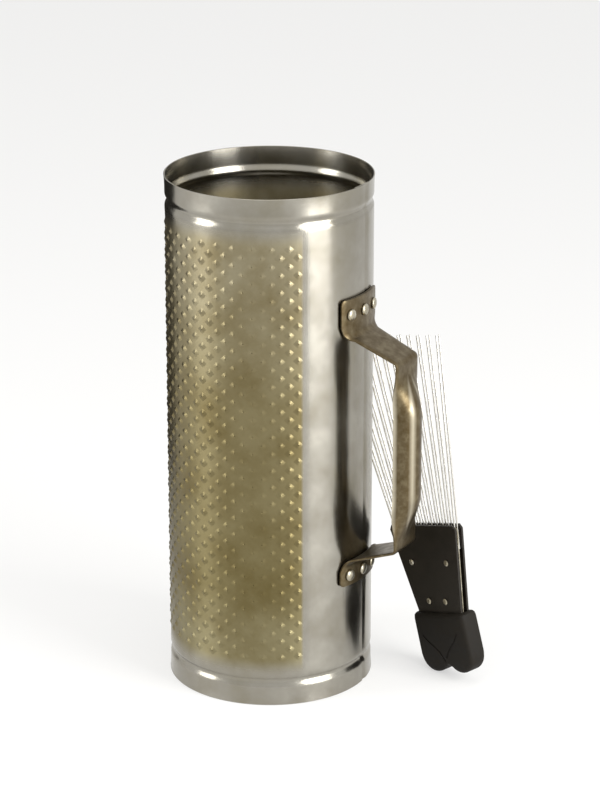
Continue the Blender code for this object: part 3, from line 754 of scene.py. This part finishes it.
def paint_grip_highlights(material):
    tree = material.node_tree
    shader = tree.nodes["Principled BSDF"]
    bare = shader.inputs["Base Color"].links[0].from_socket
    place = add_node(tree, "ShaderNodeTexCoord")
    from_middle = add_node(tree, "ShaderNodeVectorMath", {
        0: place.outputs["Object"], 1: (GRIP_MIDDLE, AXIS.y, 0.0)}, operation="SUBTRACT")
    axes = add_node(tree, "ShaderNodeSeparateXYZ", {"Vector": from_middle})
    turn = add_node(tree, "ShaderNodeMath", {0: axes.outputs["Y"], 1: axes.outputs["X"]}, operation="ARCTAN2")
    either_way = add_node(tree, "ShaderNodeMath", {0: turn}, operation="ABSOLUTE")
    half_turns = add_node(tree, "ShaderNodeMath", {0: either_way, 1: math.pi}, operation="DIVIDE")
    amount = add_node(tree, "ShaderNodeValToRGB", {"Fac": half_turns}, stops=[
        (0.08, 0.0), (0.17, 0.55), (0.25, 0.0), (0.44, 0.0), (0.52, 1.0)])
    for end, way in ((LOWER_CORNER + GRIP_ENDS, 1), (UPPER_CORNER - GRIP_ENDS, -1)):
        on_grip = add_node(tree, "ShaderNodeMapRange", {
            "Value": axes.outputs["Z"], "From Min": end, "From Max": end + way * GRIP_FADE},
            interpolation_type="SMOOTHSTEP")
        amount = add_node(tree, "ShaderNodeMath", {0: amount, 1: on_grip}, operation="MULTIPLY")
    # The grip's rolled edges and two lines beside its crown are painted pale, as highlights of the lamps.
    highlighted = add_node(tree, "ShaderNodeMixRGB", {"Fac": amount, "Color1": bare, "Color2": colour("#cfc7b2")})
    set_inputs(tree, shader, {"Base Color": highlighted})


paint_grip_highlights(strap_steel)
strap.data.materials.append(strap_steel)
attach(strap, "drum")
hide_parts("handle_strap")
print("middle of the grip at", round(GRIP_MIDDLE, 4))

# %% [markdown]
# ## The rivets
# Three domed rivets go through each foot and the sheet, and are clenched over washers inside the drum.
# The same tree sets them out: three columns 12.2 degrees apart in two rows.

# %% Rivets with round heads
RIVET_LOW, RIVET_HIGH = 0.0865, 0.2715
RIVET_STEP = math.radians(12.2)
SHANK, TAIL, HEAD = 0.0017, 0.0027, 0.0040
TAIL_END, HEAD_FACE = 0.0655, 0.0727  # reaches from the drum's axis
HEAD_EDGE, HEAD_DOME = 0.0004, 0.0015
rivet_profile = [(0.0016, TAIL_END), (TAIL, TAIL_END + 0.0004), (TAIL, TAIL_END + 0.0010),
                 (SHANK, TAIL_END + 0.0011), (SHANK, HEAD_FACE - 0.0003), (HEAD * 0.97, HEAD_FACE - 0.0001),
                 (HEAD, HEAD_FACE + HEAD_EDGE)]
for i in range(1, 6):
    angle = math.pi / 2 * i / 6
    rivet_profile.append((HEAD * math.cos(angle), HEAD_FACE + HEAD_EDGE + HEAD_DOME * math.sin(angle)))
rivet_shape = show(skin(turned([(r, z - HEAD_FACE) for r, z in rivet_profile], 20), "one_rivet"))
rivets = grow(show(bpy.data.meshes.new("rivet_base")), round_the_wall, {
    "Piece": rivet_shape, "Finish": rivet_steel, "Columns": 3, "Rows": 2, "First angle": -RIVET_STEP,
    "Angle step": RIVET_STEP, "First height": RIVET_LOW, "Height step": RIVET_HIGH - RIVET_LOW,
    "Stagger": 0.0, "Radius": HEAD_FACE, "Unevenness": 0.0, "Seed": 1}, "handle_rivets")
bpy.data.objects.remove(rivet_shape)
rivets.data.transform(Matrix.Translation(AXIS))
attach(rivets, "drum")
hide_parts(*[name for name in nodes if name.startswith("handle_rivet_")])
print("rivets:", triangles(rivets), "triangles")

# %% [markdown]
# ## Where the scraper stands
# The scraper was modelled upright and then leaned beside the drum, so its pieces are made upright here too.
# The same four values turn it into place, and the tip of one wire of the solids gives its exact height.

# %% The scraper's place
SCRAPER_FACING = math.radians(70.0)
SCRAPER_ALONG = 0.1005
SCRAPER_LEAN = math.radians(2.7)
SCRAPER_TILT = math.radians(16.0)
SOLID_WALL = 0.070
STANDOFF = 0.0010  # from the drum's rim to the nearest wire
WIRES, WIRE, WIRE_GAP = 12, 0.0006, 0.0003  # in a row, radius, and gap to the core
CORE = 0.0008
TIP_Z, ROOT_Z = 0.2405, 0.0880
TIP_DROP = 0.0004  # each wire ends a little lower than its neighbour towards the middle
ROOT_PITCH, TIP_PITCH = 0.0052, 0.0099
ROW_DEPTH = CORE / 2 + WIRE_GAP + WIRE
UNDER_SOLID = 0.0001


def scraper_turn():
    facing = Vector((math.cos(SCRAPER_FACING), math.sin(SCRAPER_FACING), 0))
    sideways = Vector((math.sin(SCRAPER_FACING), -math.cos(SCRAPER_FACING), 0))
    up = Vector((0, 0, 1)) - sideways * math.tan(SCRAPER_TILT) - facing * math.tan(SCRAPER_LEAN)
    up.normalize()
    square = (facing - up * facing.dot(up)).normalized()
    turn = Matrix((square.cross(up), square, up)).transposed().to_4x4()
    reach = SOLID_WALL + RIM_FLARE + STANDOFF + ROW_DEPTH + WIRE + TIP_Z * up.z * math.tan(SCRAPER_LEAN)
    return Matrix.Translation(AXIS + facing * reach + sideways * SCRAPER_ALONG) @ turn


def raised_to_solids(placement):
    """Lifts the placement so that the last front wire's tip is just under the solid's."""
    last = (WIRES - 1) / 2
    tip = placement @ Vector((last * TIP_PITCH, -ROW_DEPTH, TIP_Z - last * TIP_DROP))
    return Matrix.Translation((0, 0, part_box("tine_front_12")[1].z - tip.z - UNDER_SOLID)) @ placement


stand = raised_to_solids(scraper_turn())
print("scraper foot at", [round(v, 4) for v in stand.translation])

# %% [markdown]
# ## The fan of wires
# Twelve straight wires in front and twelve behind leave the holder side by side and spread towards their
# tips. One rod of unit length is enough: the tree gives each copy its root, its direction and its length.

# %% A tree for the fan
def fan_tree():
    tree, given = new_tree("wire_fan", {
        "Rod": "Object", "Finish": "Material", "Wires": "Int", "Root pitch": "Float",
        "Tip pitch": "Float", "Root height": "Float", "Tip height": "Float", "Row depth": "Float",
        "Tip drop": "Float"})
    row, number = line_and_place(tree, given["Wires"])
    centre = add_node(tree, "ShaderNodeMath", {
        0: given["Wires"], 1: 0.5, 2: -0.5}, operation="MULTIPLY_ADD")
    place = add_node(tree, "ShaderNodeMath", {0: number, 1: centre}, operation="SUBTRACT")
    side = add_node(tree, "ShaderNodeMath", {0: row, 1: 2.0, 2: -1.0}, operation="MULTIPLY_ADD")
    depth = add_node(tree, "ShaderNodeMath", {0: side, 1: given["Row depth"]}, operation="MULTIPLY")
    from_centre = add_node(tree, "ShaderNodeMath", {0: place}, operation="ABSOLUTE")
    drop = add_node(tree, "ShaderNodeMath", {0: from_centre, 1: given["Tip drop"]}, operation="MULTIPLY")
    tip_height = add_node(tree, "ShaderNodeMath", {0: given["Tip height"], 1: drop}, operation="SUBTRACT")
    ends = []
    for pitch, height in ((given["Root pitch"], given["Root height"]), (given["Tip pitch"], tip_height)):
        across = add_node(tree, "ShaderNodeMath", {0: place, 1: pitch}, operation="MULTIPLY")
        ends.append(add_node(tree, "ShaderNodeCombineXYZ", {"X": across, "Y": depth, "Z": height}))
    root, tip = ends
    way = add_node(tree, "ShaderNodeVectorMath", {0: tip, 1: root}, operation="SUBTRACT")
    length = add_node(tree, "ShaderNodeVectorMath", {0: way}, operation="LENGTH")
    stretch = add_node(tree, "ShaderNodeCombineXYZ", {"X": 1.0, "Y": 1.0, "Z": length})
    count = add_node(tree, "ShaderNodeMath", {0: given["Wires"], 1: 2.0}, operation="MULTIPLY")
    points = add_node(tree, "GeometryNodePoints", {"Count": count, "Position": root})
    turn = add_node(tree, "FunctionNodeAlignRotationToVector", {"Vector": way}, axis="Z")
    rod = add_node(tree, "GeometryNodeObjectInfo", {"Object": given["Rod"]})
    wires = add_node(tree, "GeometryNodeInstanceOnPoints", {
        "Points": points, "Instance": rod.outputs["Geometry"], "Rotation": turn, "Scale": stretch})
    return end_tree(tree, wires, given["Finish"])


wire_fan = fan_tree()
print("tree with", len(wire_fan.nodes), "nodes")

# %% Make the wires
rod_profile = [(WIRE, 0.0), (WIRE, 0.5), (WIRE * 0.95, 0.996), (WIRE * 0.75, 0.9985), (WIRE * 0.35, 1.0)]
rod = show(skin(turned(rod_profile, 12), "unit_rod"))
wires = grow(show(bpy.data.meshes.new("fan_base")), wire_fan, {
    "Rod": rod, "Finish": spring_wire, "Wires": WIRES, "Root pitch": ROOT_PITCH,
    "Tip pitch": TIP_PITCH, "Root height": ROOT_Z, "Tip height": TIP_Z, "Row depth": ROW_DEPTH,
    "Tip drop": TIP_DROP}, "scraper_wires")
bpy.data.objects.remove(rod)
wires.data.transform(stand)
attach(wires, "scraper")
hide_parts(*[name for name in nodes if name.startswith("tine_")])
print("wires:", triangles(wires), "triangles")

# %% [markdown]
# ## The rubber boot
# The boot is a thick moulded sleeve over the holder's foot. Its end has two round lobes with a notch
# between them, and a crease runs down each side of its face into the notch. An outline is given its depth
# and soft edges with a bevel, and the pocket and the creases are cut from it.

# %% Sizes of the boot
BOOT_TOP, BOOT_HALF, BOOT_DEEP, NOTCH = 0.0430, 0.0258, 0.0076, 0.0060
LOBE_STEPS, LOBE_STEP = 14, math.radians(9.5)
SOFT_EDGE = 0.0034
NECK_HALF = 0.0220
PLATE = 0.0016
FIT, SIDE_FIT = 0.0002, 0.0003  # clearance over the plates and beside them
POCKET_HALF = NECK_HALF + SIDE_FIT
POCKET_DEEP = CORE / 2 + 2 * (WIRE + WIRE_GAP) + PLATE + FIT
POCKET_FLOOR, POCKET_TOP = 0.0118, 0.060
CREASE = 0.0007
LEFT_CREASE = [(-0.0190, 0.0270), (-0.0150, 0.0230), (-0.0100, 0.0195), (-0.0045, 0.0150), (0.0, 0.0070),
               (0.0, 0.0020)]
RIGHT_CREASE = [(0.0170, 0.0290), (0.0130, 0.0235), (0.0080, 0.0190), (0.0035, 0.0140), (0.0012, 0.0110)]
print("pocket:", round(2 * POCKET_DEEP * 1000, 2), "mm deep")


# %% Shapes of the boot
def boot_outline():
    lobe = BOOT_HALF / 2
    side = [(BOOT_HALF * 0.90, BOOT_TOP), (BOOT_HALF * 0.97, BOOT_TOP - 0.0012),
            (BOOT_HALF, BOOT_TOP - 0.004), (BOOT_HALF * 1.005, BOOT_TOP * 0.6), (BOOT_HALF * 1.008, lobe)]
    for step in range(1, LOBE_STEPS + 1):
        angle = -step * LOBE_STEP
        side.append((lobe + lobe * math.cos(angle), lobe + lobe * math.sin(angle)))
    side.append((0.0, NOTCH))
    return side + [(-x, z) for x, z in reversed(side[:-1])]


def slab(outline, half_depth, name):
    """An outline given its depth, as much to the front as to the back."""
    return show(skin([[Vector((x, y, z)) for x, z in outline] for y in (-half_depth, half_depth)], name))


def bead_along(points, radius, name):
    """A round bar of eight sides along points that lie in one upright plane."""
    circle = [(radius * math.cos(math.pi * k / 4), radius * math.sin(math.pi * k / 4)) for k in range(8)]
    rings = []
    for i, point in enumerate(points):
        before = points[max(i - 1, 0)]
        after = points[min(i + 1, len(points) - 1)]
        across = Vector((0, 1, 0)).cross(after - before).normalized()
        rings.append([point + across * aside + Vector((0, forward, 0)) for aside, forward in circle])
    return show(skin(rings, name))


print("outline of the boot:", len(boot_outline()), "points")

# %% Make the boot
boot = slab(boot_outline(), BOOT_DEEP, "rubber_boot")
soft = boot.modifiers.new("soft_edges", "BEVEL")
soft.width = SOFT_EDGE
soft.segments = 5
soft.limit_method = "ANGLE"
soft.angle_limit = math.radians(60)
pocket_outline = [(POCKET_HALF, POCKET_FLOOR), (POCKET_HALF, POCKET_TOP), (-POCKET_HALF, POCKET_TOP),
                  (-POCKET_HALF, POCKET_FLOOR)]
tools = [slab(pocket_outline, POCKET_DEEP, "pocket")]
for face in (-BOOT_DEEP, BOOT_DEEP):
    for line in (LEFT_CREASE, RIGHT_CREASE):
        tools.append(bead_along([Vector((x, face, z)) for x, z in line], CREASE, "crease"))
for tool in tools:
    cut = boot.modifiers.new("cut", "BOOLEAN")
    cut.operation = "DIFFERENCE"
    cut.solver = "EXACT"
    cut.object = tool
boot = made_plain(boot, "rubber_boot_cut")
for tool in tools:
    bpy.data.objects.remove(tool)
boot.data.shade_smooth()
boot.data.set_sharp_from_angle(angle=math.radians(38))
boot.data.materials.clear()
boot.data.materials.append(black_rubber)
boot.data.transform(stand)
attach(boot, "scraper")
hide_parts("scraper_boot")
print("boot:", triangles(boot), "triangles")

# %% [markdown]
# ## Pieces whose solids are already right
# The plates, the core, the pins, the collars, the washers and the solder have simple true shapes. Made
# again they would gain nothing, so they keep their meshes and only take their finishes.

# %% Finishes for the kept solids
kept = {"holder_front_plate": black_abs, "holder_back_plate": black_abs, "holder_core": rivet_steel,
        "seam_solder": seam_metal}
for name in nodes:
    if name.startswith(("collar_", "pin_", "rivet_washer_")):
        kept[name] = rivet_steel
for name, finish in kept.items():
    nodes[name].data.materials.clear()
    nodes[name].data.materials.append(finish)
print("finished solids:", len(kept))

# %% [markdown]
# ## Floor, background and light
# Polished metal shows what stands round it, so the room matters as much as the steel. The floor and the
# background are pale for the camera and for reflections. One tall soft panel on the right gives the long
# bright stripe down the wall, and a weaker one on the left gives the glints on the plain bands. A black
# card to the left of the drum, seen by reflections alone, darkens that edge.

# %% Floor
FLOOR_HALF, FLOOR_LEVEL = 8.0, -0.0002
FLOOR_GLOW = 0.55  # the share of plain white that the camera and reflections see in the floor
corners = [(x * FLOOR_HALF, y * FLOOR_HALF, FLOOR_LEVEL) for x, y in ((-1, -1), (1, -1), (1, 1), (-1, 1))]
floor_mesh = bpy.data.meshes.new("floor")
floor_mesh.from_pydata(corners, [], [(0, 1, 2, 3)])
floor = show(floor_mesh)
floor_paint = bpy.data.materials.new("pale_floor")
floor_paint.use_nodes = True
tree = floor_paint.node_tree
matt = tree.nodes["Principled BSDF"]
set_inputs(tree, matt, {"Base Color": colour("#f4f3f0"), "Roughness": 0.85, "Specular IOR Level": 0.1})
path = add_node(tree, "ShaderNodeLightPath")
seen = add_node(tree, "ShaderNodeMath", {
    0: path.outputs["Is Camera Ray"], 1: path.outputs["Is Glossy Ray"]}, operation="MAXIMUM")
share = add_node(tree, "ShaderNodeMath", {0: seen, 1: FLOOR_GLOW}, operation="MULTIPLY")
glow = add_node(tree, "ShaderNodeEmission", {"Color": (1, 1, 1, 1), "Strength": 1.0})
mixed = add_node(tree, "ShaderNodeMixShader", {0: share, 1: matt, 2: glow})
set_inputs(tree, tree.nodes["Material Output"], {"Surface": mixed})
floor.data.materials.append(floor_paint)
print("floor ready")

# %% Soft panels
AIM = Vector((0, 0, 0.18))  # above the drum's foot, on its axis
PANELS = {  # degrees from the handle, distance, height, width, tallness, watts
    "right_panel": (-7.0, 1.30, 0.62, 0.75, 1.20, 22.0),
    "left_panel": (-136.0, 1.60, 0.80, 0.60, 1.20, 13.0),
    "top_panel": (-60.0, 0.60, 2.20, 1.60, 1.60, 8.0)}


def round_the_drum(degrees, distance, height):
    """A place at an angle counted from the handle, a distance from the drum's axis and a height."""
    angle = math.radians(degrees)
    return AXIS + Vector((distance * math.cos(angle), distance * math.sin(angle), height))


for name, (degrees, distance, height, width, tall, watts) in PANELS.items():
    data = bpy.data.lights.new(name, "AREA")
    data.shape = "RECTANGLE"
    data.size = width
    data.size_y = tall
    data.energy = watts
    lamp = show(data)
    lamp.location = round_the_drum(degrees, distance, height)
    lamp.rotation_euler = (AXIS + AIM - lamp.location).to_track_quat("-Z", "Y").to_euler()
print("lamps:", len(bpy.data.lights))

# %% A black card for the drum's left edge
CARD_DEGREES, CARD_DISTANCE, CARD_WIDTH, CARD_TALL = 158.0, 0.42, 0.34, 0.42
middle = round_the_drum(CARD_DEGREES, CARD_DISTANCE, 0.0)
across = Vector((0, 0, 1)).cross(middle - AXIS).normalized() * (CARD_WIDTH / 2)
top = Vector((0, 0, CARD_TALL))
card_mesh = bpy.data.meshes.new("left_card")
card_mesh.from_pydata([middle - across, middle + across, middle + across + top, middle - across + top], [],
                      [(0, 1, 2, 3)])
card = show(card_mesh)
card_paint = bpy.data.materials.new("matt_black_card")
card_paint.use_nodes = True
set_inputs(card_paint.node_tree, card_paint.node_tree.nodes["Principled BSDF"], {
    "Base Color": colour("#15120c"), "Roughness": 1.0})
card.data.materials.append(card_paint)
for rays in ("camera", "diffuse", "shadow", "transmission"):
    setattr(card, "visible_" + rays, False)
print("card ready")

# %% The room
ROOM_DIM = 0.70  # what lights the drum; the camera and reflections see plain white
world = bpy.data.worlds.new("room")
bpy.context.scene.world = world
world.use_nodes = True
tree = world.node_tree
tree.nodes.clear()
path = add_node(tree, "ShaderNodeLightPath")
first = add_node(tree, "ShaderNodeMath", {
    0: path.outputs["Is Camera Ray"], 1: path.outputs["Is Glossy Ray"]}, operation="MAXIMUM")
seen = add_node(tree, "ShaderNodeMath", {
    0: first, 1: path.outputs["Is Transmission Ray"]}, operation="MAXIMUM")
dim = add_node(tree, "ShaderNodeBackground", {"Color": (1, 1, 1, 1), "Strength": ROOM_DIM})
white = add_node(tree, "ShaderNodeBackground", {"Color": (1, 1, 1, 1), "Strength": 1.0})
mixed = add_node(tree, "ShaderNodeMixShader", {0: seen, 1: dim, 2: white})
add_node(tree, "ShaderNodeOutputWorld", {"Surface": mixed})
bpy.context.scene.view_settings.view_transform = "Standard"
print("room ready")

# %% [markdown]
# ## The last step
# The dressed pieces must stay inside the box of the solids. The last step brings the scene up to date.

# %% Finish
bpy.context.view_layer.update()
